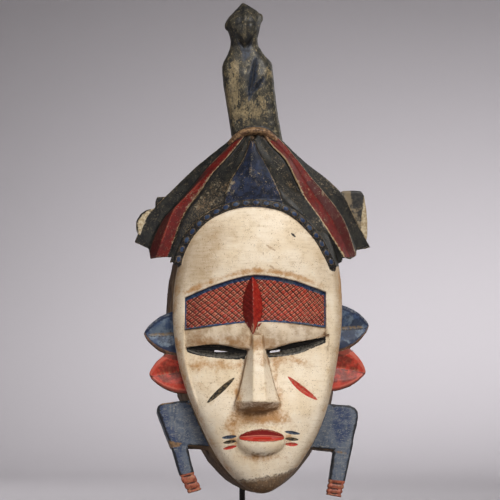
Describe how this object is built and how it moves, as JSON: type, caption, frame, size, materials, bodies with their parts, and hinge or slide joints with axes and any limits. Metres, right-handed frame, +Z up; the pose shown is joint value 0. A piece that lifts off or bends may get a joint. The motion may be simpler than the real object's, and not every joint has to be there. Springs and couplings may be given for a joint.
{
  "type": "carved wooden face mask on display stand",
  "caption": "Carved and painted wooden face mask with a standing crest figure, pleated coiffure and paired side lobes, carried by a steel rod hooked into its hollow on a flat foot.",
  "frame": {"origin": "centre of the stand foot's underside, on the surface that it rests on", "axes": "+Z up, -Y the way the mask faces, +X to the viewer's right"},
  "size_m": [0.2038, 0.1319, 0.4924],
  "materials": {
    "painted_wood": "cream, red, blue and black oil paint over carved wood, satin, worn at the edges",
    "black_steel": "matt black"
  },
  "bodies": {
    "root": {"mask": "painted_wood", "stand_rod": "black_steel", "stand_foot": "black_steel"}
  },
  "joints": []
}
